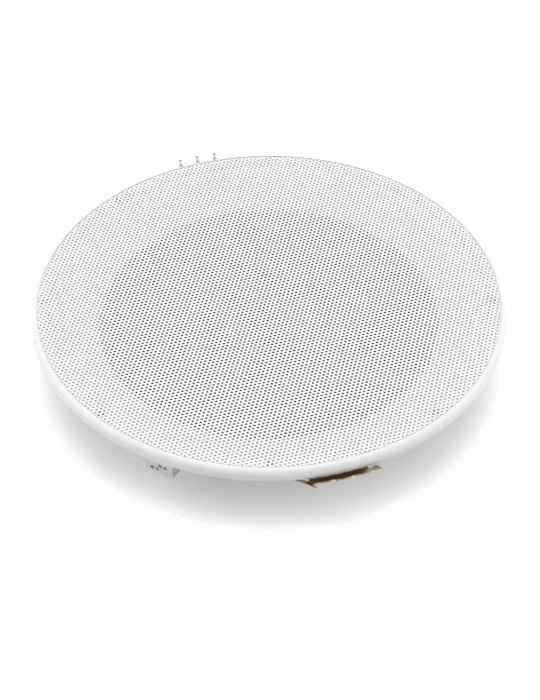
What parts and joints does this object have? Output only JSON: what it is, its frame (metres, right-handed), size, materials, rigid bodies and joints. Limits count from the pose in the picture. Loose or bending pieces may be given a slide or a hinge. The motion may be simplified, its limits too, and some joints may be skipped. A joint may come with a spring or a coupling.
{
  "type": "marine speaker",
  "caption": "Round white flush-mount marine speaker with a dished perforated grille, a slim rounded bezel, toothed spring clips and a shallow sealed driver behind.",
  "frame": {"origin": "centre of the bezel's back face, in the plane where it meets the panel", "axes": "+Z out of the speaker's face along its axis, +X to the right and +Y away from the viewer in the picture's view"},
  "size_m": [0.2126, 0.219, 0.0378],
  "materials": {
    "bezel_asa": "satin moulded",
    "grille_paint": "satin powder coat",
    "nickel_plate": "nickel plated",
    "foam_black": "closed-cell foam",
    "basket_nylon": "moulded, matt",
    "stainless": "plain",
    "rubber_black": "moulded, matt",
    "cone_polypropylene": "moulded, satin",
    "spider_cloth": "resin-coated weave",
    "former_film": "film",
    "copper_winding": "enamelled wire",
    "zinc_steel": "zinc plated",
    "clip_steel": "yellow passivated",
    "terminal_nylon": "moulded",
    "brass_plain": "stamped"
  },
  "bodies": {
    "housing": {"bezel": "bezel_asa", "grille": "grille_paint", "grille_magnets": "nickel_plate", "flange_gasket": "foam_black", "driver_gasket": "foam_black", "basket": "basket_nylon", "driver_screws": "stainless", "surround": "rubber_black", "spider": "spider_cloth", "pole_plate": "zinc_steel", "motor_magnet": "nickel_plate", "yoke": "zinc_steel", "motor_boot": "rubber_black", "clip_front": "clip_steel", "clip_rear": "clip_steel", "clip_rivets": "stainless", "terminal_block": "terminal_nylon", "terminal_tags": "brass_plain", "terminal_screws": "stainless"},
    "moving_cone": {"cone": "cone_polypropylene", "dust_cap": "cone_polypropylene", "former": "former_film", "voice_coil": "copper_winding"}
  },
  "joints": [
    {"name": "cone_travel", "type": "slide", "parent": "housing", "child": "moving_cone", "axis": [0, 0, 1], "range_m": [-0.0025, 0.0025], "stiffness_N_per_m": 1500, "deforming": ["surround", "spider"]}
  ]
}
